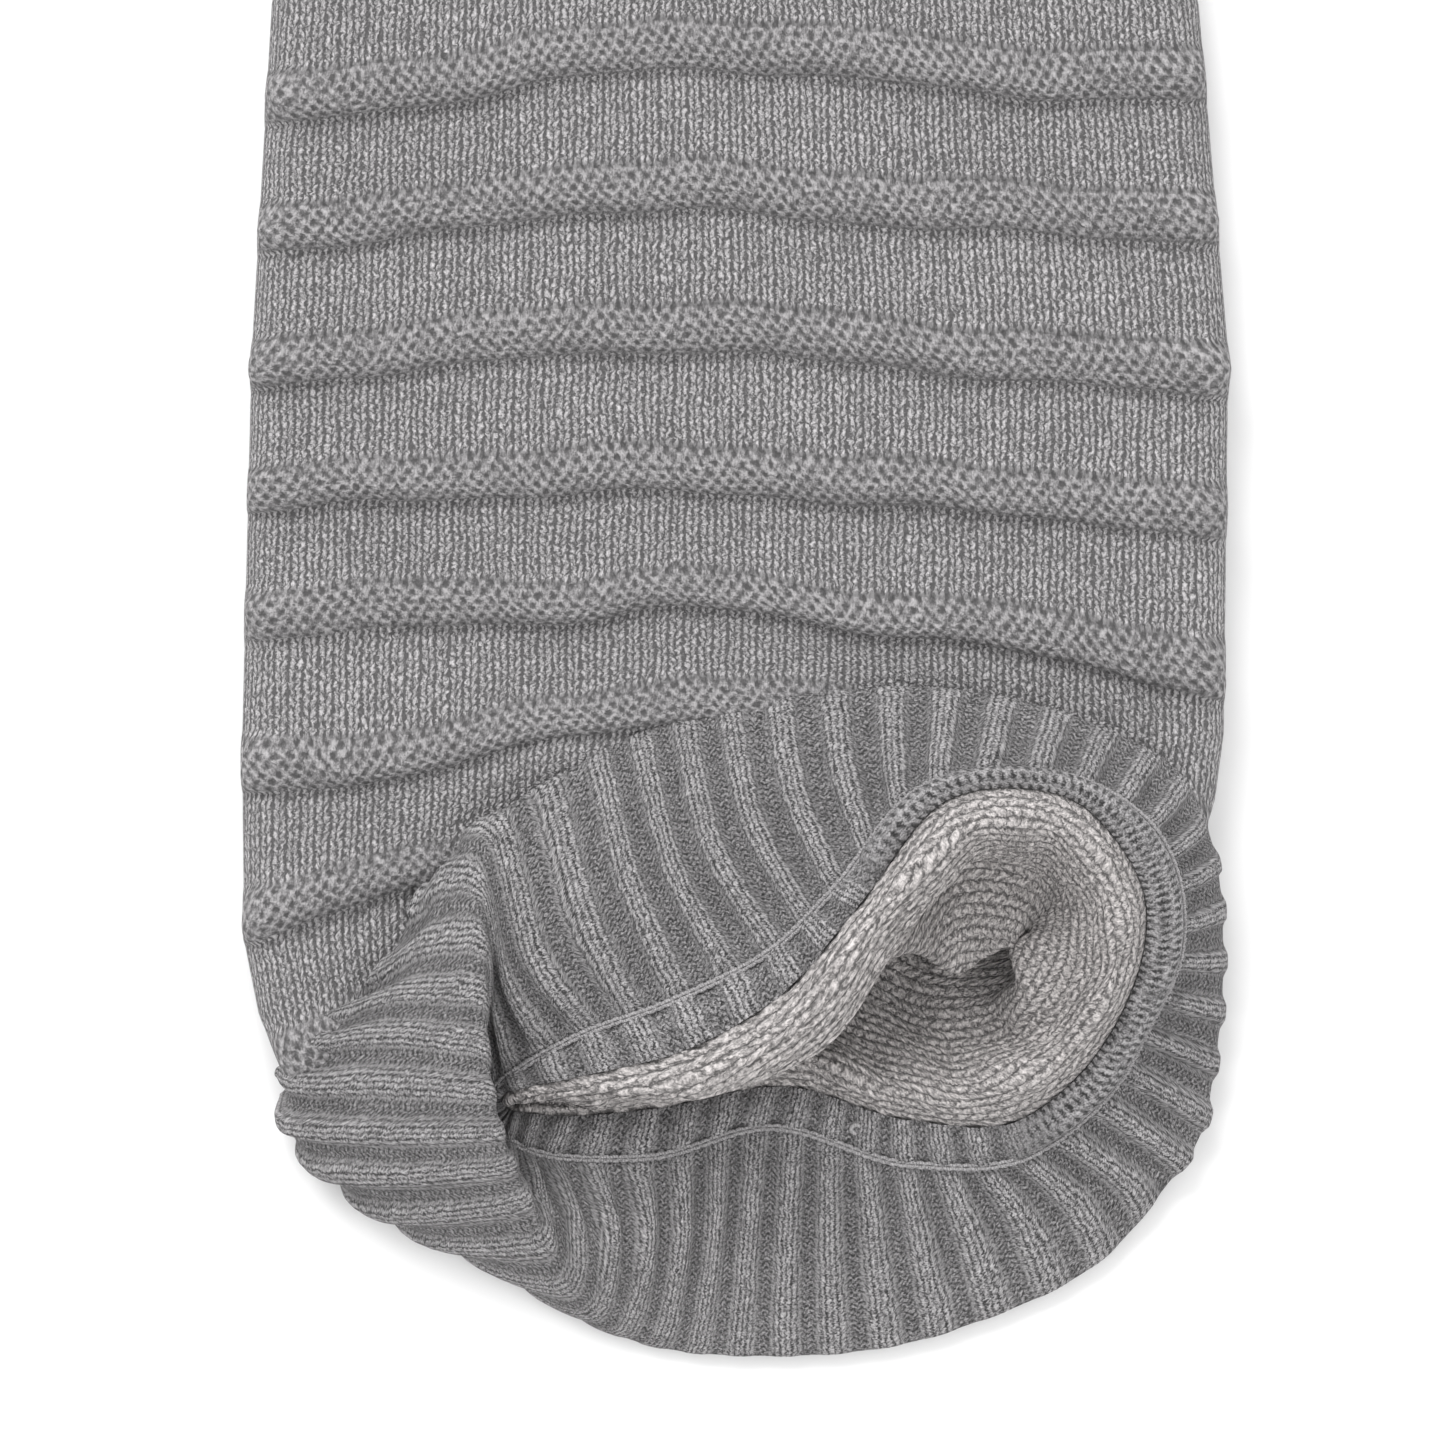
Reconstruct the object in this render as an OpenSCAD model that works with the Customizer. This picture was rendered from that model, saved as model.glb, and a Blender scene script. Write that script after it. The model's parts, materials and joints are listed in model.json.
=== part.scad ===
// Long-cuffed knitted mitten, lying flat with its cuff turned open. Millimetres, +Z up.
// Fingers point to +Y, the mouth to -Y, and the thumb lies on the +X side.

/* [Sleeve] */
// Flat width of the sleeve at its lower end
sleeve_w = 128; // [110:1:150]
// Flat width at the wrist
wrist_w = 98; // [80:1:110]
// Length from the cuff's fold to the wrist
wrist_y = 240; // [200:5:280]
// Thickness of the flat-laid tube, both layers and the air between
tube_h = 13; // [11:0.5:16]
// Thickness of one layer of knit
wall = 2.2; // [1.6:0.1:2.6]

/* [Hand] */
// Flat width across the fingers
hand_w = 100; // [90:1:104]
// Length of the whole mitten
total_l = 412; // [380:2:440]
// Length of the rounded fingertip
tip_l = 46; // [30:1:60]

/* [Thumb] */
// Flat width of the thumb
thumb_w = 32; // [26:1:34]
// Length from the thumb's base pivot to its tip
thumb_l = 62; // [50:1:70]
// Angle of the thumb away from the fingers at rest
thumb_angle = 48; // [45:1:55]

/* [Cuff] */
// Length of the turned-open cuff from fold to fold
cuff_l = 90; // [80:1:100]
// Width of the turned-open cuff
cuff_w = 99; // [90:1:110]
// Height of the cuff's raised edge
cuff_rise = 17; // [12:1:20]
// Thickness of one layer of rib
rib_t = 1.6; // [1.2:0.1:2]

/* [Hidden] */
around = 40; // points round a loop
grey = [0.55, 0.54, 0.54];
pale_grey = [0.62, 0.61, 0.6];
dark_grey = [0.48, 0.47, 0.47];

// Centre of the cuff's loops
cuff_x = 15;
cuff_y = cuff_l / 2;
mouth_y = 52; // middle of the tube's slanting end
upper_slant = 28; // how far the slant runs to each side of it
lower_slant = 16;
straight_y = 112; // the slant has gone here
taper_y = 150; // the sleeve starts to narrow here
palm_y = wrist_y + 50; // the hand is at its full width here
tip_y = total_l - tip_l;
gap = 0.3; // between bodies and neighbouring pieces

// Thumb pivot and the rounded base that turns in the hand
pivot = [sleeve_w / 2 - 6, wrist_y + 48];
base_r = 19;
bore_r = base_r + gap;
opening_w = 26; // way from the hand into the thumb
bead_r = 1; // radius of a sewn or linked seam
thumb_reach = pivot.x + (thumb_l - thumb_w / 2) * sin(thumb_angle) + thumb_w / 2;
centre = [(thumb_reach - sleeve_w / 2) / 2, total_l / 2, 0]; // the origin, at the box's centre

function smooth(t) = let (s = min(max(t, 0), 1)) s * s * (3 - 2 * s);
function blend(a, b, t) = a + (b - a) * smooth(t);
function unit(v) = v / norm(v);
function hold(x) = min(max(x, -1), 1);

// Half the flat width of the tube at a distance along it
function half_width(y) =
    y < wrist_y ? blend(sleeve_w, wrist_w, (y - taper_y) / (wrist_y - taper_y)) / 2
    : y < tip_y ? blend(wrist_w, hand_w, (y - wrist_y) / (palm_y - wrist_y)) / 2
    : hand_w / 2 * sqrt(max(0, 1 - pow((y - tip_y) / tip_l, 2)));

// One point of the flattened tube: round edges, and flat faces between them
function tube_point(y, a, inset) =
    let (h = tube_h / 2 - inset, w = max(half_width(y) - inset, h + 0.5))
    [(w - h) * hold(1.5 * cos(a)) + h * cos(a), y, tube_h / 2 + h * hold(1.06 * sin(a))];

// A ring of the tube; near the mouth its upper side leans away from the cuff and its lower side to it
function tube_ring(y, inset) =
    let (lean = max(0, (straight_y - y) / (straight_y - mouth_y)))
    [for (i = [0:around - 1]) let (a = 360 * i / around, s = sin(a))
        tube_point(y + lean * (s > 0 ? upper_slant : lower_slant) * s, a, inset)];

// An oval loop whose height swings between low and low + rise, highest at the angle peak
function oval(cx, cy, rx, ry, low, rise, peak, a) =
    [cx + rx * cos(a), cy + ry * sin(a), low + rise * (1 + cos(a - peak)) / 2];

function fold_loop(a) =
    oval(cuff_x, cuff_y, cuff_w / 2 - rib_t, cuff_y - rib_t, rib_t + 0.1, cuff_rise, 100, a);
function seam_loop(a) = oval(cuff_x, mouth_y, 44, 26, 3.6, cuff_rise + 2, 85, a);
function rim_loop(a) = oval(cuff_x - 2, mouth_y + 1, 34, 15, 3.7, cuff_rise + 1, 80, a);
function attach_loop(a) = oval(-3, mouth_y - 1, 56, 20, rib_t + 0.1, 14, 90, a);

// Faces joining loops of n points in turn, ended by caps or closed on themselves
function skin(n, rows, closed) = concat(
    [for (j = [0:rows - (closed ? 1 : 2)], i = [0:n - 1])
        let (k = (j + 1) % rows, m = (i + 1) % n) each
        [[j * n + i, j * n + m, k * n + m], [j * n + i, k * n + m, k * n + i]]],
    closed ? [] : [[for (i = [n - 1:-1:0]) i], [for (i = [0:n - 1]) (rows - 1) * n + i]]);

module loft(loops, closed = true) {
    n = len(loops[0]);
    polyhedron(points = [for (l = loops) each l], faces = skin(n, len(loops), closed));
}

// A round bead along a list of points
module bead(path, r, closed = false) {
    n = len(path);
    loft([for (i = [0:n - 1])
        let (before = path[closed ? (i + n - 1) % n : max(i - 1, 0)],
             after = path[closed ? (i + 1) % n : min(i + 1, n - 1)],
             along = unit(after - before), side = unit(cross(along, [0, 0.1, 1])),
             up = cross(side, along))
        [for (a = [0:60:300]) path[i] + r * (cos(a) * side + sin(a) * up)]], closed);
}

// The knitted tube: its slanting end, then even stations, then the closing fingertip
module tube_shell() {
    stations = concat([for (t = [0, 0.3, 0.6, 1]) mouth_y + t * (straight_y - mouth_y)],
        [taper_y, 180, 210], [for (y = [wrist_y:25:tip_y]) y],
        [for (a = [15:15:75]) tip_y + tip_l * sin(a)], [total_l]);
    last = len(stations) - 1;
    loft(concat([for (i = [last - 2:-1:0]) tube_ring(stations[i], wall)],
        [for (i = [0:last]) tube_ring(stations[i], 0)]), false);
}

module mitten_body() color(grey) difference() {
    tube_shell();
    translate([pivot.x, pivot.y, -1]) cylinder(r = bore_r, h = tube_h + 2, $fn = 64);
}

// A pillow-edged disc, the plan of the thumb's base and tip
module pillow(r, inset) {
    h = tube_h / 2 - inset;
    translate([0, 0, tube_h / 2]) rotate_extrude($fn = 40) intersection() {
        translate([r - inset - h, 0]) union() {
            circle(h, $fn = 16);
            translate([-50, -h]) square([50, 2 * h]);
        }
        translate([0, -h]) square([r, 2 * h]);
    }
}

module thumb_form(inset) {
    pillow(base_r, inset);
    hull() {
        pillow(thumb_w / 2, inset);
        translate([0, thumb_l - thumb_w / 2]) pillow(thumb_w / 2, inset);
    }
}

module thumb() color(grey) translate([pivot.x, pivot.y]) rotate(-thumb_angle) difference() {
    thumb_form(0);
    thumb_form(wall);
    translate([-opening_w / 2, -base_r - 1, wall]) cube([opening_w, base_r + 1, tube_h - 2 * wall]);
}

// Directions at an angle round the cuff: along its fold, and towards the mouth's middle
function along_fold(a) = unit(fold_loop(a + 1) - fold_loop(a - 1));
function inward(a) = unit(rim_loop(a) - seam_loop(a));

// The doubled rib: out from the tube's end to the fold, and back over itself to the linked seam
function cuff_section(a) =
    let (start = attach_loop(a), fold = fold_loop(a), end = seam_loop(a), t = along_fold(a),
         under = rib_t * unit(cross(t, fold - start)), over = rib_t * unit(cross(t, end - fold)),
         out = rib_t * unit(2 * fold - start - end))
    [start + under, fold + under, fold + out, fold + over, end + over, end, fold, start];

module rib_cuff() color(dark_grey) loft([for (i = [0:2 * around - 1]) cuff_section(180 * i / around)]);

// The rib's free edge beyond the linked seam
function strip_section(a) =
    let (start = seam_loop(a) + (2 * bead_r + 3 * gap) * inward(a), end = start + 5 * inward(a),
         over = rib_t * unit(cross(along_fold(a), inward(a))))
    [start + over, end + over, end, start];

module edge_strip() color(dark_grey) loft([for (i = [0:around - 1]) strip_section(360 * i / around)]);

function link_point(a) = seam_loop(a) + (bead_r + 2 * gap) * inward(a)
    + rib_t / 2 * unit(cross(along_fold(a), inward(a)));

module link_seam() color(grey) bead([for (i = [0:around - 1]) link_point(360 * i / around)], bead_r, true);

module side_seam() color(grey)
    bead([for (y = [85:20:tip_y + 10]) [bead_r + wall + 3 * gap - half_width(y), y, tube_h / 2]], bead_r);

module tip_seam() color(grey)
    bead([for (a = [-50:10:50]) [0.9 * hand_w / 2 * sin(a), tip_y + (tip_l - 12) * cos(a), tube_h / 2]],
        bead_r);

// Two turns of yarn drawn tight
module yarn_knot() color(pale_grey) translate(strip_section(273)[0] + [0, 2, 1.7])
    bead([for (a = [0:30:690]) [1.2 * cos(a), 1.2 * sin(a), a / 690 * 1.6 - 0.6]], 0.35);

translate(-centre) mitten_body();
translate(-centre) thumb();
translate(-centre) rib_cuff();
translate(-centre) edge_strip();
translate(-centre) link_seam();
translate(-centre) side_seam();
translate(-centre) tip_seam();
translate(-centre) yarn_knot();
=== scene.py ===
import json
import math

import bpy
import numpy as np
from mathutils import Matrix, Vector


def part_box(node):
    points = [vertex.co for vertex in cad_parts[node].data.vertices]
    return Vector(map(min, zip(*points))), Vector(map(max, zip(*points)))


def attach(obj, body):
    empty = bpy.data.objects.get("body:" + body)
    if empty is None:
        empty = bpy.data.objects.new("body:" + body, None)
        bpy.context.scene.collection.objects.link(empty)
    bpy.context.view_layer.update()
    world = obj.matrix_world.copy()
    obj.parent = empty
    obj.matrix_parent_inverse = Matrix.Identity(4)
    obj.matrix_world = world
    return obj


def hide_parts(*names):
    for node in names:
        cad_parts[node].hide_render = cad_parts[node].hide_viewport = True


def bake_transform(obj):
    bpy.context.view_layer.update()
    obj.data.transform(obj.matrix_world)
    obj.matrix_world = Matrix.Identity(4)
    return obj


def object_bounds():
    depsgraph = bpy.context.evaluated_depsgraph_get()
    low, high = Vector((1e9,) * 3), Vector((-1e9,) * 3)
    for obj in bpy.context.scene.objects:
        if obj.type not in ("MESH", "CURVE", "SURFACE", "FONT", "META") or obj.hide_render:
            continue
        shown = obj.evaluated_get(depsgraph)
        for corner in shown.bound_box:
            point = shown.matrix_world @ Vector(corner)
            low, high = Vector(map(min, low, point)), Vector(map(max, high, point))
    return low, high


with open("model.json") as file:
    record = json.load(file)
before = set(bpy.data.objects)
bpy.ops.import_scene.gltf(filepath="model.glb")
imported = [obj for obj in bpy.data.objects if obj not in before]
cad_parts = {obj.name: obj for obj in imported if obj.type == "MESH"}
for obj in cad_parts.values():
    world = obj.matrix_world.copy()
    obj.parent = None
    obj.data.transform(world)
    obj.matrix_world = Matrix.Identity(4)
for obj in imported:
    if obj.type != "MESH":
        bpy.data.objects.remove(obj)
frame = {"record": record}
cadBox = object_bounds()

# Sizes below are millimetres from the tube's middle line, along from the cuff's fold, and up from the floor.
tubeLow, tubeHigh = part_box("mitten_body")
home = np.array([(tubeLow[0] + tubeHigh[0]) / 2, cadBox[0][1], 0.0])
length = (cadBox[1][1] - cadBox[0][1]) * 1000


def place(points):
    return np.asarray(points, float) / 1000 + home


def smooth(t):
    t = np.clip(t, 0, 1)
    return t * t * (3 - 2 * t)


def flow(knots, values, at, period=None):
    # a smooth curve through the values at the knots, closed where there is a period
    k, p = np.asarray(knots, float), np.asarray(values, float)
    at = np.asarray(at, float)
    if period:
        k = np.concatenate([k[-2:] - period, k, k[:3] + period])
        p = np.concatenate([p[-2:], p, p[:3]])
        at = np.mod(at - k[2], period) + k[2]
    slope = np.gradient(p, k, axis=0)
    i = np.clip(np.searchsorted(k, at, side="right") - 1, 0, len(k) - 2)
    h = (k[i + 1] - k[i])[:, None]
    t = ((at - k[i]) / (k[i + 1] - k[i]))[:, None]
    return (
        (2 * t**3 - 3 * t**2 + 1) * p[i]
        + (t**3 - 2 * t**2 + t) * h * slope[i]
        + (3 * t**2 - 2 * t**3) * p[i + 1]
        + (t**3 - t**2) * h * slope[i + 1]
    )


def skinThrough(loops, around, along):
    # closed loops, blended smoothly in turn; gives rows of points
    rings = np.array([flow(ribKnots, loop, around, ribCount) for loop in loops])
    steps = np.linalg.norm(np.diff(rings, axis=0), axis=2).mean(1)
    stops = np.concatenate([[0], np.cumsum(steps)])
    at = np.interp(along, np.linspace(0, 1, len(loops)), stops)
    flat = flow(stops, rings.reshape(len(loops), -1), at)
    return flat.reshape(len(at), len(around), 3), at


def outward(grid):
    # the visible side of rows of points whose last column repeats the first
    du = np.empty_like(grid)
    du[:, 1:-1] = grid[:, 2:] - grid[:, :-2]
    du[:, 0] = du[:, -1] = grid[:, 1] - grid[:, -2]
    n = np.cross(du, np.gradient(grid, axis=0))
    return n / np.maximum(np.linalg.norm(n, axis=2, keepdims=True), 1e-9)


def travelled(grid, step):
    # rows of stitches counted down each column from the last row of points
    paces = np.linalg.norm(np.diff(grid[::-1], axis=0), axis=2)
    return np.concatenate([np.zeros((1, grid.shape[1])), np.cumsum(paces, axis=0)])[::-1] / step


def clothMesh(name, grid, stitches, tip=False):
    # rows of points to a mesh closed round its columns, with stitch counts as its UVs
    rows, cols = grid.shape[0], grid.shape[1] - 1
    points = grid[:, :-1].reshape(-1, 3)
    j, i = np.meshgrid(np.arange(rows - 1), np.arange(cols), indexing="ij")
    j, i = j.ravel(), i.ravel()
    k = (i + 1) % cols
    faces = np.stack([j * cols + i, j * cols + k, (j + 1) * cols + k, (j + 1) * cols + i], 1)
    uv = np.stack([stitches[j, i], stitches[j, i + 1], stitches[j + 1, i + 1], stitches[j + 1, i]], 1)
    faces, uv = faces.tolist(), uv.reshape(-1, 2)
    if tip:
        points = np.concatenate([points, [points[-cols:].mean(0)]])
        last = (rows - 1) * cols
        closing = [[last + c, last + (c + 1) % cols, rows * cols] for c in range(cols)]
        ends = np.stack([stitches[-1, :-1], stitches[-1, 1:], stitches[-1, 1:] + [0, 1]], 1)
        faces, uv = faces + closing, np.concatenate([uv, ends.reshape(-1, 2)])
    mesh = bpy.data.meshes.new(name)
    mesh.from_pydata(place(points).tolist(), [], faces)
    layer = mesh.uv_layers.new(name="stitches")
    layer.data.foreach_set("uv", uv.astype(np.float32).ravel())
    mesh.polygons.foreach_set("use_smooth", np.ones(len(faces), bool))
    mesh.update()
    piece = bpy.data.objects.new(name, mesh)
    bpy.context.scene.collection.objects.link(piece)
    return piece


def strandMesh(name, strands, sides=6):
    # round strands of yarn, each (points, radii), joined into one mesh
    points, faces, uvs, base = [], [], [], 0
    ring = np.arange(sides) / sides * math.tau
    for count, (path, radii) in enumerate(strands):
        path = np.asarray(path, float)
        along = np.gradient(path, axis=0)
        along /= np.linalg.norm(along, axis=1, keepdims=True)
        side = np.cross(along, [0.05, 0.03, 1.0])
        side /= np.linalg.norm(side, axis=1, keepdims=True)
        up = np.cross(side, along)
        r = np.asarray(radii, float)[:, None, None]
        tube = path[:, None] + r * (
            np.cos(ring)[None, :, None] * side[:, None] + np.sin(ring)[None, :, None] * up[:, None]
        )
        points.append(tube.reshape(-1, 3))
        rows = len(path)
        for j in range(rows - 1):
            for i in range(sides):
                k = (i + 1) % sides
                faces.append([base + j * sides + i, base + j * sides + k,
                              base + (j + 1) * sides + k, base + (j + 1) * sides + i])
                uvs += [(count + i / sides, j), (count + (i + 1) / sides, j),
                        (count + (i + 1) / sides, j + 1), (count + i / sides, j + 1)]
        for row, order in ((0, range(sides - 1, -1, -1)), (rows - 1, range(sides))):
            faces.append([base + row * sides + i for i in order])
            uvs += [(count + 0.5, row)] * sides
        base += rows * sides
    mesh = bpy.data.meshes.new(name)
    mesh.from_pydata(place(np.concatenate(points)).tolist(), [], faces)
    layer = mesh.uv_layers.new(name="stitches")
    layer.data.foreach_set("uv", np.array(uvs, np.float32).ravel())
    mesh.polygons.foreach_set("use_smooth", np.ones(len(faces), bool))
    mesh.update()
    piece = bpy.data.objects.new(name, mesh)
    bpy.context.scene.collection.objects.link(piece)
    return piece


def spacedOut(path, step):
    path = np.asarray(path, float)
    run = np.concatenate([[0], np.cumsum(np.linalg.norm(np.diff(path, axis=0), axis=1))])
    at = np.linspace(0, run[-1], max(3, int(round(run[-1] / step)) + 1))
    return np.stack([np.interp(at, run, path[:, k]) for k in range(3)], 1)


def chainStrands(path, link, width, yarn):
    # linked stitches: each is two legs that open from the last one and close in the next
    path, lift = spacedOut(path, link), np.array([0.0, 0.0, 1.0])
    along = np.gradient(path, axis=0)
    along /= np.linalg.norm(along, axis=1, keepdims=True)
    strands = []
    for k in range(len(path) - 1):
        across = np.cross(along[k], lift)
        across /= np.linalg.norm(across)
        t = np.linspace(0, 1, 6)[:, None]
        for hand in (-1, 1):
            wobble = 0.12 * math.sin(k * 2.4 + hand)
            spread = np.sin(np.pi * np.clip(t * 1.05, 0, 1)) ** 0.7 + wobble * t
            line = (path[k] + along[k] * (t * 1.55 - 0.2) * link
                    + across * hand * width * spread / 2
                    + lift * yarn * (1.2 * np.sin(np.pi * t * 0.9) - 0.2))
            strands.append((line, yarn * (0.55 + 0.45 * np.sin(np.pi * t[:, 0]))))
    return strands


class wire:
    # a value in a material's nodes; sums and products of it add Math nodes
    def __init__(self, socket):
        self.socket = socket

    def math(self, operation, *values, flip=False):
        tree = self.socket.id_data
        made = tree.nodes.new("ShaderNodeMath")
        made.operation = operation
        values = [self, *values][::-1] if flip else [self, *values]
        for slot, value in zip(made.inputs, values):
            feed(tree, slot, value)
        return wire(made.outputs[0])

    def __add__(self, other):
        return self.math("ADD", other)

    def __sub__(self, other):
        return self.math("SUBTRACT", other)

    def __rsub__(self, other):
        return self.math("SUBTRACT", other, flip=True)

    def __mul__(self, other):
        return self.math("MULTIPLY", other)

    def __truediv__(self, other):
        return self.math("DIVIDE", other)

    def __pow__(self, other):
        return self.math("POWER", other)

    __radd__, __rmul__ = __add__, __mul__


def feed(tree, slot, value):
    if isinstance(value, wire):
        tree.links.new(value.socket, slot)
    else:
        slot.default_value = value


def addNode(tree, kind, settings, **sockets):
    # any other node: its settings first, then its sockets' values or links
    made = tree.nodes.new(kind)
    for name, value in settings.items():
        setattr(made, name, value)
    for name, value in sockets.items():
        slot = made.inputs[int(name[1:])] if name[0] == "_" and name[1:].isdigit() else made.inputs[name]
        feed(tree, slot, value)
    return made


def part(x):
    return x.math("FRACT")


def ramp(x, low, high):
    tree = x.socket.id_data
    made = addNode(tree, "ShaderNodeMapRange", {"interpolation_type": "SMOOTHSTEP"}, _0=x, _1=low, _2=high)
    return wire(made.outputs[0])


def mixed(tree, factor, a, b):
    made = addNode(tree, "ShaderNodeMix", {"data_type": "RGBA"}, _0=factor, _6=a, _7=b)
    return wire(made.outputs[2])


def plainStitch(u, v):
    # the V of a knit stitch: two round legs that lean out from the column's middle as they rise
    off = (part(u) - 0.5).math("ABSOLUTE") * 2
    rise = part(v - off * 0.45)
    across = off - 0.37 - rise * 0.17
    leg = (1 - across * across * 6.0).math("MAXIMUM", 0.0) ** 0.8
    along = rise * 2 - 1
    bead = 1 - along * along * along * along
    side = (u * 2).math("FLOOR")
    return leg * (0.3 + 0.7 * bead), across * 2.6 + side * 3.7, v * 2.4


def purlStitch(u, v):
    # rows of round bumps, each row half a stitch along from the last, with a small hollow between bumps
    lean = u + v * 0.12
    side, along = (lean * math.tau).math("COSINE"), (v * math.pi).math("COSINE")
    hollow = 0.5 - side * along * 0.5
    return 0.98 - 0.98 * hollow, u * 2.2 + v * 0.8, v * 1.6


def ridgeStitch(u, v):
    # a raised rib's plain columns, drawn out so that their legs run on as fine cords
    off = (part(u) - 0.5).math("ABSOLUTE") * 2
    bead = part(v + off * 0.5) * 2 - 1
    leg = (1 - (off - 0.52) * (off - 0.52) * 4.2) * (1 - 0.3 * bead * bead)
    side = (u * 2).math("FLOOR")
    return leg, off * 2.6 + side * 3.7, v * 1.3


def purlRows(u, v):
    # sunk purl columns of fine yarn: short rows that rise and fall
    zig = (part(u) - 0.5).math("ABSOLUTE") * 2
    along = part(v + zig * 0.9) * 2 - 1
    crown = zig * 2 - 1
    return (1 - along * along) * (0.74 - 0.34 * crown * crown), u * 3.0, v * 1.4 + zig


def ropeStitch(u, v):
    # the wrong side: rows that look like plied cord, leaning one way and then the other
    row = v.math("FLOOR")
    hand = part(row * 0.5) * 4 - 1
    across = part(v) - 0.5
    turn = part(u + hand * across * 0.8 + row * 0.37) * 2 - 1
    bulge = (1 - across * across * 3.9).math("MAXIMUM", 0.0)
    return (bulge * (1 - 0.85 * turn * turn)) ** 0.7, u * 2.6 + hand * across * 2.4, v * 2.6


def flecks(tree, x, y, seed, detail=2.0):
    # light and dark fibres carded together in the yarn
    at = addNode(tree, "ShaderNodeCombineXYZ", {}, X=x, Y=y, Z=seed)
    noise = addNode(tree, "ShaderNodeTexNoise", {"noise_dimensions": "3D"}, Vector=wire(at.outputs[0]),
                    Scale=1.0, Detail=detail, Roughness=0.65)
    return wire(noise.outputs["Fac"])


def perStitch(tree, u, v, seed):
    at = addNode(tree, "ShaderNodeCombineXYZ", {}, X=u.math("FLOOR"), Y=v.math("FLOOR"), Z=seed)
    noise = addNode(tree, "ShaderNodeTexWhiteNoise", {"noise_dimensions": "3D"}, Vector=wire(at.outputs[0]))
    return wire(noise.outputs["Value"])


def yarnMaterial(name, finish, pattern):
    # pattern gives the stitches' height, from 0 in the gaps to 1 on the yarn, the fibres' direction, and a
    # painted shade factor that darkens the colour of sunk stitches
    made = bpy.data.materials.new(name)
    made.use_nodes = True
    tree = made.node_tree
    shader = tree.nodes["Principled BSDF"]
    uvs = addNode(tree, "ShaderNodeUVMap", {"uv_map": "stitches"})
    split = addNode(tree, "ShaderNodeSeparateXYZ", {}, Vector=wire(uvs.outputs[0]))
    u, v = wire(split.outputs[0]), wire(split.outputs[1])
    drift = [
        (flecks(tree, u * 0.3, v * 0.3, slow) - 0.5) * finish["wander"]
        + (flecks(tree, u * 2.6, v * 2.2, quick) - 0.5) * finish["fray"]
        for slow, quick in ((3.0, 13.0), (7.0, 17.0))
    ]
    du, dv = drift
    height, x, y, paintedShade = pattern(u + du, v + dv)
    fibre = flecks(tree, x, y, 1.0, 3.0)
    heather = flecks(tree, u * finish["grain"], v * finish["grain"] * 0.45, 9.0)
    patch = flecks(tree, u * 0.12, v * 0.12, 5.0)
    each = perStitch(tree, u + du, v + dv, 2.0)
    tone = ((fibre - 0.5) * finish["fibre"] + (heather - 0.5) * finish["heather"]
            + (each - 0.5) * finish["stitch"] + (patch - 0.5) * finish["patch"] + finish["tone"])
    colour = mixed(tree, ramp(tone, 0.0, 1.0), finish["dark"], finish["light"])
    # painted shade: where the stitches' height falls towards the gaps, the colour fades to the dark gap
    # colour, standing in for the shadow between stitches
    gap = ramp(height + (fibre + heather - 1) * 0.55, -0.05, finish["gapWidth"])
    # painted shade: the pattern's shade factor mixes the colour towards black, darkening purl as if its
    # hollows lay in shadow
    colour = mixed(tree, paintedShade, (0, 0, 0, 1), mixed(tree, gap, finish["gap"], colour))
    feed(tree, shader.inputs["Base Color"], colour)
    feed(tree, shader.inputs["Roughness"], 0.98 - 0.12 * height)
    bump = addNode(tree, "ShaderNodeBump", {}, Strength=finish["depth"], Distance=finish["reach"],
                   Height=height * 0.8 + (fibre + heather) * finish["fuzz"])
    feed(tree, shader.inputs["Normal"], wire(bump.outputs[0]))
    shader.inputs["Sheen Weight"].default_value = finish["sheen"]
    shader.inputs["Sheen Roughness"].default_value = 0.6
    shader.inputs["Specular IOR Level"].default_value = 0.15
    return made


def grey(value, red=1.03, blue=1.015):
    return (value * red, value, value * blue, 1)


# each finish's gap colour is painted shade: the dark that the yarn's colour fades to where it sinks between
# stitches, over the given width of the stitches' height
knitFinish = {
    "dark": grey(0.155), "light": grey(0.585), "gap": grey(0.1), "gapWidth": 0.75,
    "fibre": 1.8, "heather": 1.7, "grain": 4.6, "stitch": 0.1, "patch": 0.2, "tone": 0.53,
    "wander": 0.6, "fray": 0.6, "depth": 0.9, "reach": 0.0008, "fuzz": 0.4, "sheen": 0.12,
}
ribFinish = {
    **knitFinish, "dark": grey(0.11), "light": grey(0.59), "gap": grey(0.035), "reach": 0.0006, "grain": 4.8,
    "fray": 0.95,
}
insideFinish = {
    **knitFinish, "dark": grey(0.17, 1.06, 0.985), "light": grey(0.72, 1.06, 0.985),
    "gap": grey(0.1, 1.06, 0.985), "reach": 0.001, "fray": 0.9,
}
yarnFinish = {**knitFinish, "gapWidth": 0.3, "reach": 0.0002, "wander": 0.1, "fray": 0.1,
              "light": grey(0.5)}
paleFinish = {**yarnFinish, "dark": grey(0.25), "light": grey(0.6), "gap": grey(0.2)}

# painted shade factors: purl's colour is darkened to stand for the shadow in its hollows, the ridges hardly
# at all
weltPaintedShade, ridgePaintedShade, purlPaintedShade = 0.72, 0.98, 0.74  # purl lies darker than the plain knit round it


def either(mask, first, second):
    # each of the first's values where the mask is 0, and the second's where it is 1
    return tuple(a * (1 - mask) + b * mask for a, b in zip(first, second))


def bodyPattern(u, v):
    turn = part(v / coursesPerPitch) * coursesPerPitch
    purl = ramp((turn - weltCentre).math("ABSOLUTE") * -1.0, -weltHalf - 0.3, -weltHalf + 0.1)
    return either(purl, (*plainStitch(u, v), 1.0), (*purlStitch(u * 1.05, v * 1.3), weltPaintedShade))


def thumbPattern(u, v):
    return *plainStitch(u, v), 1.0


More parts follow.
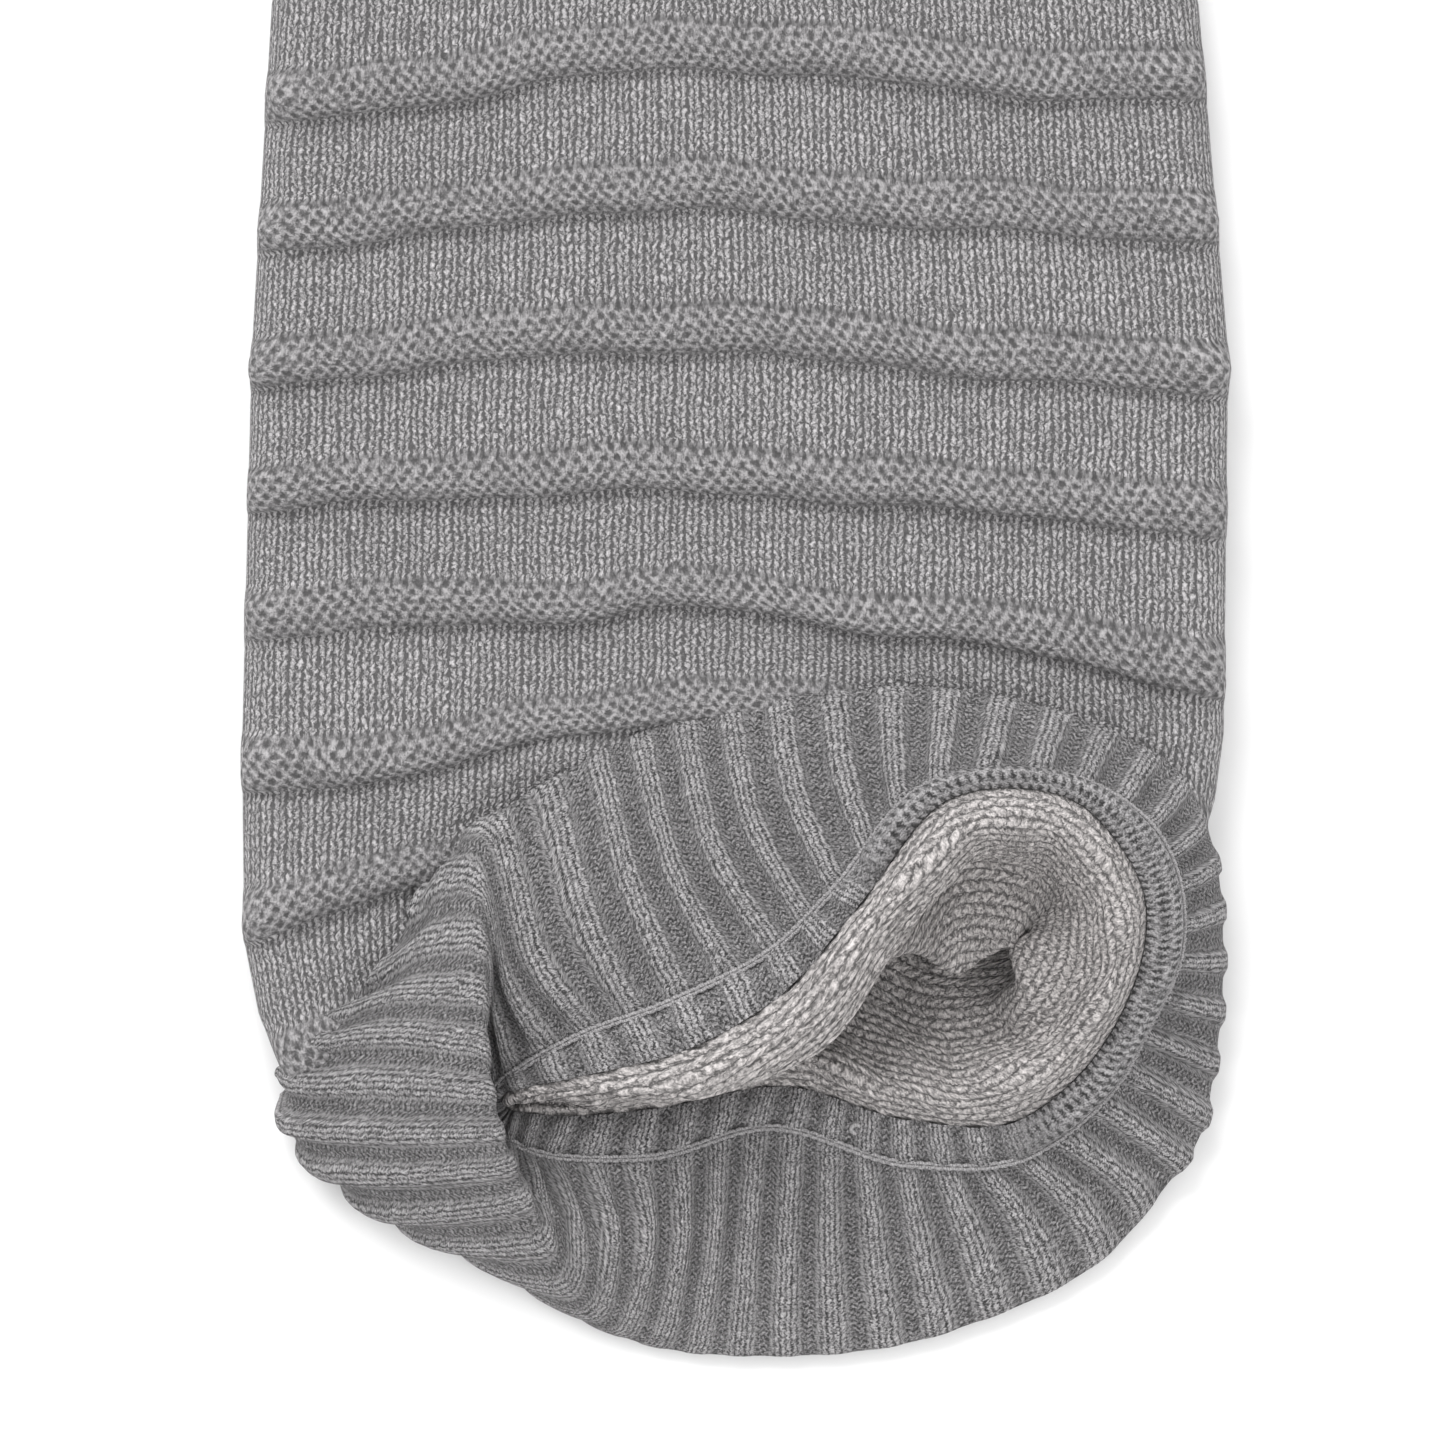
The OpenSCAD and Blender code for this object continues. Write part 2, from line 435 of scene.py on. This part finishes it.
def ribPattern(u, v):
    # two plain columns and two purl columns to each rib; the purl shows widest along the cuff's upper edge
    turn = part(u / ribColumns) * ribColumns
    close = 1 - ramp((u / ribColumns - 10).math("ABSOLUTE"), 7.0, 11.0)
    purl = ramp((turn - 3).math("ABSOLUTE") * -1.0 + close * 0.2, -0.85, -0.4)
    return either(purl, (*ridgeStitch(u, v * 0.5), ridgePaintedShade), (*purlRows(u * 1.2, v * 0.8), purlPaintedShade))


def edgePattern(u, v):
    # the rib runs on past the linked seam, but at the mouth's far end its bound-off stitches stand up
    far = ramp((u / ribColumns - farRib).math("ABSOLUTE") * -1.0, -9.5, -7.5)
    # the bound-off stitches get a painted shade of 0.84, darkened as if in shadow
    return either(far, ribPattern(u, v), (*purlStitch(u * 1.1, v * 0.36), 0.84))


def insidePattern(u, v):
    return *ropeStitch(u, v), 1.0


def yarnPattern(u, v):
    twist = part(u * 2 + v * 1.2) * 2 - 1
    return 1 - twist * twist * 0.8, u * 6, v * 3, 1.0


ribColumns = 4  # stitch columns to each rib
farRib = 15.5  # the rib at the middle of the mouth's far end
coursesPerPitch = 13  # rows of stitches from one welt to the next
weltCentre = 10.5  # the welt's middle course in each pitch
weltHalf = 2.15  # courses to each side of it

tubeShape = {
    "stitches": 142,  # round the tube
    "bulk": 12.4,  # thickness of the two layers and the air between
    "clear": 0.25,  # how far the knit's underside lies above the floor
    "weltHeight": 2.3,
    "weltWave": 0.42,
    "weltLean": 1.1,  # how far a welt's crest hangs towards the cuff
    "rowStep": 1.05,
    "lift": 3.4,  # how far the knit rises to meet the turned-open cuff
    # welts from the cuff up: how far along each one's middle lies at these places across
    "across": (-65, -45, -25, -5, 15, 35, 65),
    "welts": [(59, 66, 69.5, 71, 70, 64, 51), (80, 80.8, 86, 89.4, 88, 82, 70),
              (100, 102, 102, 103.5, 100.5, 98.5, 92.5), (116.5, 118.5, 119, 119.5, 118, 117, 114),
              (133.5, 136, 138, 139, 137, 135, 132.5), (152, 153.5, 157, 157.5, 156, 155, 153.5),
              (169, 171, 175, 176.5, 175.5, 173, 172.5)],
    "pitch": 19.3,
    # half widths along the tube, to the left and to the right of its middle line
    "left": [(30, 57), (38, 60.5), (46, 64), (56, 66), (82, 66.3), (135, 65), (182, 62.3), (212, 56),
             (240, 49.5), (290, 50), (366, 50)],
    "right": [(30, 57), (66, 61), (75, 64.5), (84, 65.7), (135, 66.3), (182, 62.3), (212, 56),
              (240, 49.5), (290, 50), (366, 50)],
    # where the tube ends under the cuff: places across it, then how far along, on top and underneath
    "end": [(-66, 36, 36), (-58, 37, 33), (-50, 41, 31), (-44, 49, 31), (-38, 57, 31), (-28, 64, 32),
            (0, 68, 33), (40, 70, 34), (58, 68, 40), (66, 60, 58)],
    "tipStart": 366,
    "tipRound": 9,  # the last stretch, where the two layers come together
}


def section(p, w, h):
    # a point of the flattened tube's outline at share p round it, from the left edge over the top
    run = 2 * (w - h)
    bend = math.pi * h / 2
    s = p * (2 * run + 4 * bend)
    marks = np.stack([0 * w, bend, bend + run, 3 * bend + run, 3 * bend + 2 * run], 0)
    a = np.clip(s / bend, 0, 1) * math.pi / 2
    b = np.clip((s - marks[2]) / bend, 0, 2) * math.pi / 2
    c = np.clip((s - marks[4]) / bend, 0, 1) * math.pi / 2
    x = np.where(s < marks[1], -(w - h) - h * np.cos(a),
        np.where(s < marks[2], -(w - h) + s - marks[1],
        np.where(s < marks[3], (w - h) + h * np.sin(b),
        np.where(s < marks[4], (w - h) - (s - marks[3]), -(w - h) - h * np.sin(c)))))
    z = np.where(s < marks[1], h * np.sin(a),
        np.where(s < marks[2], h, np.where(s < marks[3], h * np.cos(b),
        np.where(s < marks[4], -h, -h * np.cos(c)))))
    return x, z


def courseLines(across, top):
    # the courses at the welts' middles, and how far along the tube they lie at one place round it
    shape = tubeShape
    known = [np.array(w, float) for w in shape["welts"]]
    while known[-1].max() < length + 40:
        arch = known[-1] - known[-1].max()
        known.append(known[-1].max() + shape["pitch"] + arch * 0.75)
    known = [known[0] - 2 * shape["pitch"], known[0] - shape["pitch"], *known]
    marks = np.array(shape["across"], float)
    wave = shape["weltWave"] * (1 - smooth((abs(across) - 48) / 12))
    over = [float(flow(marks, k[:, None], [across])[0, 0])
            + wave * (math.sin(across / 6.3 + 2.1 * i) + 0.6 * math.sin(across / 3.1 + 1.3 * i))
            for i, k in enumerate(known)]
    under = [k[0] + (k[-1] - k[0]) * (across + 65) / 130 for k in known]
    courses = weltCentre + coursesPerPitch * (np.arange(len(known)) - 2)
    return courses, np.array(under) + (np.array(over) - np.array(under)) * top


def makeTube():
    shape = tubeShape
    cols = int(shape["stitches"] * 1.3)
    p = np.linspace(0, 1, cols + 1)
    half = shape["bulk"] / 2
    x, z = section(p, np.full_like(p, 65.0), np.full_like(p, half))
    top = smooth((z / half + 1) / 2)
    ends = np.array(shape["end"], float)
    endTop = np.interp(x, ends[:, 0], ends[:, 1])
    endUnder = np.interp(x, ends[:, 0], ends[:, 2])
    endY = endUnder + (endTop - endUnder) * top
    rows = int((length - 30) / shape["rowStep"])
    lines = [courseLines(x[i], top[i]) for i in range(cols + 1)]
    lastCourse = float(np.interp(length + 1, lines[cols // 4][1], lines[cols // 4][0]))
    nominal = np.linspace(0, lastCourse, rows)
    course, y = np.empty((rows, cols + 1)), np.empty((rows, cols + 1))
    for i, (courses, places) in enumerate(lines):
        first = np.interp(endY[i], places, courses)
        course[:, i] = nominal + first * (1 - smooth(nominal / 55))
        y[:, i] = np.interp(course[:, i], courses, places)
    y = np.minimum(y, length - 0.05 - 0.01 * (rows - np.arange(rows))[:, None] / rows)
    tipLength = length - shape["tipStart"]
    close = np.sqrt(np.clip(1 - ((y - shape["tipStart"]) / tipLength) ** 2, 0, 1))
    close = np.where(y < shape["tipStart"], 1.0, close)
    left = np.interp(y, *np.array(shape["left"], float).T) * close
    right = np.interp(y, *np.array(shape["right"], float).T) * close
    tipRound = shape["tipRound"]
    h = half * np.sqrt(np.clip(1 - ((y - (length - tipRound)) / tipRound) ** 2, 0.02, 1))
    h = np.where(y < length - tipRound, half, h)
    w = np.maximum((left + right) / 2, h + 0.3)
    x, z = section(np.broadcast_to(p, y.shape), w, h)
    x = x + (right - left) / 2
    upper = (z / h + 1) / 2
    grid = np.stack([x, y, z + half + shape["clear"]], 2)
    n = outward(grid)
    turn = np.mod(course, coursesPerPitch) - weltCentre
    d = turn / (weltHalf + 0.35)
    crest = np.clip(1 - d * d, 0, 1) ** 0.6
    pinch = (np.exp(-((turn + weltHalf + 0.75) / 0.45) ** 2)
             + 0.4 * np.exp(-((turn - weltHalf - 0.75) / 0.45) ** 2))
    face = 0.09 + 0.91 * smooth((n[:, :, 2] - 0.15) / 0.8)
    swell = 1 + 0.16 * np.sin(x / 11 + 2 * y / 19) + 0.12 * np.sin(x / 5.3 + y)
    grow = (shape["weltHeight"] * crest * swell - 0.4 * pinch) * face
    grid += n * grow[:, :, None]
    grid[:, :, 1] -= shape["weltLean"] * crest * face
    soft = 0.5 * np.sin(x / 23 + y / 41 + 1) * np.sin(y / 27 - x / 60) + 0.35 * np.sin(x / 9 + y / 15)
    soft += shape["lift"] * np.exp(-(((y - 84 - x / 8) / 7) ** 2) - ((x + 14) / 18) ** 2)
    grid[:, :, 2] += soft * smooth(upper * 2 - 1)
    stitches = np.stack([np.broadcast_to(p * shape["stitches"], y.shape), course], 2)
    piece = clothMesh("mitten_tube", grid, stitches, tip=True)
    piece.data.materials.append(knitMaterial)
    return piece


ribCount = 46
ribKnots = [0, 2, 4, 6, 9, 12, 14, 16, 18, 20, 22, 24, 27, 31, 34, 36, 38, 40, 42, 44]

# Each loop goes clockwise from the upper left, one point at each of the rib numbers above.
cuffLoops = {
    "attach": [[-38, 68, 13.8], [-24, 72, 13.5], [-8, 74, 13.5], [4, 76, 13.5], [26, 77, 13.5],
               [48, 74, 13.3], [58, 72, 12.5], [63, 68, 9], [64, 58, 4], [62, 46, 1.5], [58, 38, 1],
               [50, 32, 0.8], [29, 28, 0.8], [2, 26, 0.8], [-28, 25, 0.8], [-42, 25, 0.8], [-52, 27, 0.8],
               [-60, 34, 1.5], [-60, 41.5, 10], [-49.5, 50, 14]],
    "edge": [[-37.5, 67.5, 14.8], [-22, 73.5, 13.9], [-8, 77, 13.6], [4, 79.5, 13.6], [26, 81, 13.6],
             [48, 77.5, 13.4], [58, 73.5, 12.5], [63, 67.5, 7], [63.5, 56, 2], [61.5, 44, 1],
             [57, 33, 0.8], [49, 24, 0.8], [28.5, 17, 0.8], [2, 14.5, 0.8], [-23, 14, 0.8],
             [-36, 15.5, 0.8], [-49, 19.5, 3], [-60, 30, 8.5], [-56, 41.5, 14.5], [-46, 52, 15.8]],
    "flap": [[-36, 70.5, 17.5], [-20, 78.2, 14.8], [-8, 83, 14], [4, 85.4, 14], [26.5, 86.5, 14],
             [48.5, 82, 13.8], [58.5, 76, 13], [63, 67, 6], [63, 54.5, 1.5], [61, 42, 1], [57, 29, 0.8],
             [48, 17, 0.8], [28.5, 7, 0.8], [2, 4, 0.8], [-19, 5, 0.8], [-30, 10, 3], [-40.5, 18, 11],
             [-47.5, 29, 17], [-46.5, 42.5, 18.5], [-41.5, 54.5, 19]],
    "fold": [[-33, 70, 20.5], [-20, 80.3, 16.4], [-8.5, 85.6, 15.4], [4, 88.4, 15.3], [26.5, 90, 15.3],
             [48.5, 85, 15.2], [59.5, 78.5, 14], [64, 68.5, 8], [65.2, 55, 3], [63.9, 41.5, 2.5],
             [60, 28, 2.5], [51, 14.5, 2.5], [29.5, 3.5, 2.5], [2, 0, 2.5], [-14.5, 2.5, 3], [-23, 8, 7],
             [-29, 19.5, 18], [-33.5, 29.5, 22], [-35, 41.5, 23.5], [-34.5, 55, 24]],
    "middle": [[-28, 53, 19], [-15.5, 63.5, 19], [-4.5, 68.5, 18.5], [6.5, 75, 18.5], [26, 84.5, 19],
               [46.5, 81.5, 20], [57, 75.5, 18.5], [63.8, 67.5, 13.5], [65.2, 55, 9], [64.3, 41.5, 7],
               [61, 28, 6], [48, 21, 6], [27, 14, 5.5], [3, 15.5, 5.5], [-10.5, 14.5, 8], [-20, 17, 14.5],
               [-29, 25, 12], [-32.5, 31, 13], [-34, 37, 14], [-33, 47, 15]],
    "seam": [[-21, 43.5, 15.5], [-9, 48, 18.5], [4, 54.5, 20.5], [12.5, 62.5, 22.5], [25.5, 77, 24],
             [45, 78, 24], [54.5, 72.5, 22.5], [59, 64.5, 19], [59.5, 54.5, 15], [55.5, 45, 12],
             [50, 35.5, 10], [40, 27.5, 8.5], [24, 26, 7.5], [4, 31, 7], [-11.5, 27, 6.5],
             [-23.5, 27, 6.5], [-30, 29, 6.5], [-32, 31.5, 6.5], [-32.5, 34, 7.5], [-31, 37.5, 10.5]],
    "strip": [[-19, 38.5, 16.5], [-6, 42, 20], [6.5, 49.5, 22.5], [16, 60.5, 24.5], [28, 75, 26],
              [44, 75.5, 26], [50.5, 70, 24.5], [54.5, 62.5, 21.5], [54.5, 54.5, 18], [51.5, 46, 15],
              [46, 38, 12.5], [38, 32, 10.5], [23.5, 32, 9], [5.5, 36.5, 8], [-10.5, 33.5, 7],
              [-21.5, 32.5, 7], [-29, 33, 7], [-30.5, 33.5, 7], [-31, 34.5, 8], [-30, 36, 11.5]],
    "crest": [[-17.5, 36, 16.5], [-4, 38.5, 21], [8.5, 46, 25], [18, 58.5, 27.5], [30.5, 71.5, 28.5],
              [42, 71.5, 28], [48, 67.5, 26.5], [51, 61, 24.5], [51, 53.5, 22], [47.5, 46, 19],
              [42, 40, 16.5], [34, 35.5, 14.5], [22, 36, 12.5], [6, 40, 10.5], [-10.5, 37, 8],
              [-21.5, 34, 7], [-28.5, 33.5, 7], [-30, 34, 7], [-30.5, 34.5, 8], [-29.5, 35, 11]],
    "rim": [[-17, 34.5, 13.5], [-3, 36, 16.5], [11, 42, 19], [21, 55, 21], [32, 67.5, 22], [41, 68, 22],
            [44.5, 64.5, 20.5], [47, 59, 18.5], [46, 53, 16], [43, 46.5, 13.5], [37.5, 42, 11.5],
            [30, 40, 10], [20, 41, 9], [5.5, 43, 8], [-10.5, 40, 6.5], [-21.5, 37.5, 6], [-28, 36, 6],
            [-30, 36, 6], [-30.5, 36, 7], [-29, 35.5, 9.5]],
    "throat": [[-17.5, 34, 11], [-3.5, 37, 12.5], [10.5, 43.5, 14.5], [20.5, 55, 15.5], [29.5, 65, 15.5],
               [40, 65, 15], [43, 62, 14], [41.5, 58.5, 13], [38.5, 55.5, 12], [38.5, 48, 11],
               [36.5, 43.5, 8], [28.5, 43, 6.8], [19, 44, 6], [4.5, 46, 5], [-11.5, 43, 4.5],
               [-22, 40.5, 5], [-29, 39, 4.8], [-33, 39, 5], [-34, 39.5, 6.5], [-31, 38, 9]],
    "lobe": [[-18, 36, 9.8], [-4, 39.5, 10.4], [10, 47, 12], [20.5, 54, 13], [29, 54.5, 13], [37, 57, 12],
             [40, 57.5, 10.2], [39, 56.8, 9.2], [37, 56, 8], [38, 51, 7], [35, 47, 4.6], [28, 47.5, 3.9],
             [18, 49, 3.6], [4.5, 49, 3.4], [-12, 47, 3.4], [-24, 44.5, 4.2], [-33, 42.5, 4.2],
             [-40, 41.5, 4.6], [-44, 42, 6.5], [-38, 41, 8.6]],
    "inlet": [[-41, 50, 9.6], [-25.5, 54.5, 9.4], [-9.5, 58.5, 9.2], [6, 62.5, 9.2], [29, 65.5, 9.2],
              [47.5, 68.5, 9.4], [53.5, 69.5, 9], [57.5, 71, 8.2], [59, 71.5, 6.8], [56, 69, 5],
              [49, 64, 3], [37.5, 60, 2.4], [18, 58, 2.4], [-4.5, 56, 2.6], [-23.5, 51, 3], [-36, 47, 3.4],
              [-48, 44, 3.4], [-56, 43.5, 4.4], [-57.5, 43, 6.8], [-51.5, 45.5, 9]],
}

cuffShape = {
    "ribHeight": 0.85,
    "calm": 0.92,  # how much flatter the ribs are over the fold
    "samples": 12,  # columns to each rib
    "course": 0.62,  # one row of the fine rib
}


def ribWave(around):
    # raised knit columns, then sunk purl columns
    turn = np.mod(around, 1.0)
    return np.clip(1.6 * np.sin(turn * math.tau), -1, 1)


def makeCuff():
    shape = cuffShape
    around = np.linspace(0, ribCount, ribCount * shape["samples"] + 1)
    order = ["seam", "middle", "fold", "flap", "edge", "attach"]
    grid, run = skinThrough([cuffLoops[k] for k in order], around, np.linspace(0, 1, 84))
    folded = run[np.argmax(grid[:, :, 1].max(1))]
    calm = 1 - shape["calm"] * np.exp(-(((run - folded) / 8) ** 2))
    height = shape["ribHeight"] * ribWave(around)[None] * (smooth(run / 4) * calm)[:, None]
    grid += outward(grid) * height[:, :, None]
    grid[:, :, 2] = np.maximum(grid[:, :, 2], 0.1)  # the underside lies flat on the floor
    stitches = np.stack(np.broadcast_arrays(around[None] * ribColumns, travelled(grid, shape["course"])), 2)
    piece = clothMesh("rib_cuff_cloth", grid, stitches)
    piece.data.materials.append(ribMaterial)
    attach(piece, "mitten")
    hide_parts("rib_cuff")


def makeStrip():
    shape = cuffShape
    around = np.linspace(0, ribCount, ribCount * shape["samples"] + 1)
    loops = [np.array(cuffLoops[k], float) for k in ("strip", "seam")]
    grid, run = skinThrough([loops[0], (loops[0] + loops[1]) / 2 + [0, 0, 0.5], loops[1]], around,
                            np.linspace(0, 1, 12))
    puff = np.sin(np.pi * np.clip(run / run[-1], 0, 1)) ** 0.6
    stand = smooth((9.5 - np.abs(around - farRib)) / 2)  # the bound-off stitches at the mouth's far end
    grid += outward(grid) * (puff[:, None] * (0.4 + 1.2 * stand)[None]
                             + 0.35 * (ribWave(around) * (1 - stand))[None])[:, :, None]
    stitches = np.stack(np.broadcast_arrays(around[None] * ribColumns, run[:, None] / shape["course"]), 2)
    piece = clothMesh("rib_edge_strip", grid, stitches)
    piece.data.materials.append(edgeMaterial)
    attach(piece, "mitten")
    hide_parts("edge_strip")


insideShape = {
    "row": 1.6,  # height of one plied row of the wrong side
    "stitches": 98,  # round the mouth
}


def makeInside():
    around = np.linspace(0, ribCount, 281)
    loops = [np.array(cuffLoops[k], float) for k in ("inlet", "lobe", "throat", "rim", "crest", "strip")]
    deep = loops[0] * [1, 0, 0.8] + [0, 128, 0.5]
    under = loops[-1] + [0, 0, -0.4]
    grid, run = skinThrough([deep, (deep + loops[0]) / 2, *loops[:-1], under], around,
                            np.linspace(0, 1, 112) ** 0.55)
    lumps = 0.4 * np.sin(around * 2.1 + 1)[None] * np.sin(run / 6)[:, None]
    lumps = lumps + 0.3 * np.sin(around[None] * 0.9 + run[:, None] / 2.3)
    rows = travelled(grid, insideShape["row"])
    swell = (lumps + 0.3 * np.abs(np.sin(rows * math.pi))) * smooth((run[-1] - run) / 4)[:, None]
    stitches = np.stack(np.broadcast_arrays(around[None] * insideShape["stitches"] / ribCount, rows), 2)
    grid += outward(grid) * swell[:, :, None]
    piece = clothMesh("mitten_inside", grid, stitches)
    piece.data.materials.append(insideMaterial)
    return piece


def joined(name, *pieces):
    with bpy.context.temp_override(active_object=pieces[0], selected_editable_objects=list(pieces)):
        bpy.ops.object.join()
    pieces[0].name = name
    return pieces[0]


def chainPiece(name, path, link, width, yarn, node):
    piece = strandMesh(name, chainStrands(path, link, width, yarn))
    piece.data.materials.append(seamMaterial)
    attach(piece, "mitten")
    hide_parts(node)


def makeLinks():
    around = np.linspace(0, ribCount, 400)
    path = flow(ribKnots, cuffLoops["seam"], around, ribCount) + [0, 0, 0.2]
    chainPiece("link_chain", path, 1.25, 0.6, 0.28, "link_seam")


pivot = (np.array(frame["record"]["behaviour"]["joints"][0]["pos_m"]) - home) * 1000

thumbShape = {
    "angle": 48,  # away from the fingers
    "reach": 61.5,  # from the pivot to the tip
    "rootHalf": 22, "half": 15.8,  # half widths at the root and along the thumb
    "rootBulk": 11.2, "bulk": 12.2,
    "stitches": 44,
    "course": 1.5,  # one row of stitches
    "tipLength": 17,
    "tipRound": 7,  # the last stretch, where the two layers come together
}


def makeThumb():
    shape = thumbShape
    turn = math.radians(shape["angle"])
    ahead = np.array([math.sin(turn), math.cos(turn)])
    root = np.array([tubeShape["right"][-1][1] - 4, pivot[1] - 3])
    knee, tip = pivot[:2] - [1, 0], pivot[:2] + ahead * shape["reach"]
    t = np.linspace(0, 1, 86)[:, None]
    path = root * (1 - t) ** 2 + 2 * knee * t * (1 - t) + tip * t**2
    run = np.concatenate([[0], np.cumsum(np.linalg.norm(np.diff(path, axis=0), axis=1))])
    left = run[-1] - run
    close = np.sqrt(np.clip(1 - ((shape["tipLength"] - left) / shape["tipLength"]) ** 2, 0, 1))
    close = np.where(left > shape["tipLength"], 1.0, close)
    grown = smooth(run / 20)
    h = (shape["rootBulk"] + (shape["bulk"] - shape["rootBulk"]) * smooth(run / 6)) / 2
    tipRound = shape["tipRound"]
    thin = np.sqrt(np.clip(1 - ((tipRound - left) / tipRound) ** 2, 0.02, 1))
    h = h * np.where(left < tipRound, thin, 1.0)
    w = np.maximum((shape["rootHalf"] + (shape["half"] - shape["rootHalf"]) * grown) * close, h + 0.2)
    lean = math.pi / 2 + (turn - math.pi / 2) * smooth(run / 26)
    p = np.linspace(0, 1, 89)
    x, z = section(np.broadcast_to(p, (len(run), len(p))), w[:, None], h[:, None])
    grid = np.stack([path[:, :1] + x * np.cos(lean)[:, None], path[:, 1:] - x * np.sin(lean)[:, None],
                     z + tubeShape["bulk"] / 2 + tubeShape["clear"]], 2)
    ridge = 0.8 * np.exp(-(((run - 4.5) / 1.1) ** 2))[:, None]
    grid += outward(grid) * (ridge + 0.25 * np.sin(x / 4 + run[:, None] / 5))[:, :, None]
    stitches = np.stack(np.broadcast_arrays(p[None] * shape["stitches"], run[:, None] / shape["course"]), 2)
    piece = clothMesh("thumb_knit", grid, stitches, tip=True)
    piece.data.materials.append(thumbMaterial)
    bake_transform(piece)
    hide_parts("thumb")


def makeSeams():
    inset = 3.6  # the seams lie just inside the knit
    y = np.linspace(86, 372, 80)
    edge = inset - np.interp(y, *np.array(tubeShape["left"], float).T)
    side = np.stack([edge, y, np.full_like(y, 6.0)], 1)
    turn = np.linspace(-0.85, 0.85, 40)
    tip = np.stack([45 * np.sin(turn), tubeShape["tipStart"] + 34 * np.cos(turn), 0 * turn + 6.0], 1)
    chainPiece("side_seam_chain", side, 3.2, 1.6, 0.5, "side_seam")
    chainPiece("tip_seam_chain", tip, 3.2, 1.6, 0.5, "tip_seam")


def makeKnot():
    low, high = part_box("yarn_knot")
    middle = (np.array((low + high) / 2) - home) * 1000
    t = np.linspace(0, 1, 40)
    angle = t * 4.2 * math.pi
    start = middle + [0, 0, 0.9]
    turns = np.stack([0.8 * np.cos(angle) + 1.2 * (t - 0.5), 0.6 * np.sin(angle),
                      0.6 * np.sin(angle * 0.5 + 1)], 1)
    tail = np.stack([0.4 + 3.2 * t, 0.6 * np.sin(3 * t) - 0.5, -0.6 * t], 1)
    strands = [(start + turns, np.full(len(t), 0.3)), (start + tail, 0.28 - 0.18 * t)]
    piece = strandMesh("knot_of_yarn", strands, sides=8)
    piece.data.materials.append(paleMaterial)
    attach(piece, "mitten")
    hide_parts("yarn_knot")


print("materials")
knitMaterial = yarnMaterial("grey knit", knitFinish, bodyPattern)
thumbMaterial = yarnMaterial("grey knit of the thumb", knitFinish, thumbPattern)
insideMaterial = yarnMaterial("grey knit, wrong side", insideFinish, insidePattern)
ribMaterial = yarnMaterial("grey rib", ribFinish, ribPattern)
edgeMaterial = yarnMaterial("grey rib's edge", ribFinish, edgePattern)
seamMaterial = yarnMaterial("seam yarn", yarnFinish, yarnPattern)
paleMaterial = yarnMaterial("pale yarn", paleFinish, yarnPattern)

print("knitted tube and its inside")
knit = joined("mitten_knit", makeTube(), makeInside())
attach(knit, "mitten")
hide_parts("mitten_body")

print("cuff")
makeCuff()
makeStrip()
makeLinks()

print("thumb, seams and knot")
makeThumb()
makeSeams()
makeKnot()


def makeStage():
    bpy.ops.mesh.primitive_plane_add(size=6)
    floor = bpy.context.object
    floor.name = "floor"
    paint = bpy.data.materials.new("pale floor")
    paint.use_nodes = True
    shader = paint.node_tree.nodes["Principled BSDF"]
    shader.inputs["Base Color"].default_value = (0.97, 0.97, 0.97, 1)
    shader.inputs["Roughness"].default_value = 0.9
    floor.data.materials.append(paint)
    bpy.context.scene.view_settings.view_transform = "Standard"
    world = bpy.data.worlds.new("soft sky")
    bpy.context.scene.world = world
    world.use_nodes = True
    sky = world.node_tree.nodes["Background"]
    sky.inputs["Color"].default_value = (1, 1, 1, 1)
    sky.inputs["Strength"].default_value = 0.98
    lamps = (("window", (-0.6, 1.1, 1.3), 22, 1.0), ("fill", (1.2, -0.8, 1.6), 8, 1.6))
    for name, spot, power, size in lamps:
        lamp = bpy.data.lights.new(name, "AREA")
        lamp.energy, lamp.size = power, size
        holder = bpy.data.objects.new(name, lamp)
        holder.location = spot
        holder.rotation_euler = (Vector((0, -0.1, 0)) - Vector(spot)).to_track_quat("-Z", "Y").to_euler()
        bpy.context.scene.collection.objects.link(holder)


def makeCamera():
    eye = bpy.data.cameras.new("camera")
    eye.lens, eye.sensor_width = 300, 36
    eye.clip_end = 50
    holder = bpy.data.objects.new("camera", eye)
    spanAcross, knitTop = 0.1936, 0.012  # metres shown from side to side at the height of the knit's top
    aim = place([-1.7, 85.4, 0])
    holder.location = (aim[0], aim[1], knitTop + spanAcross * eye.lens / eye.sensor_width)
    bpy.context.scene.collection.objects.link(holder)
    bpy.context.scene.camera = holder


print("floor, light and camera")
makeStage()
makeCamera()
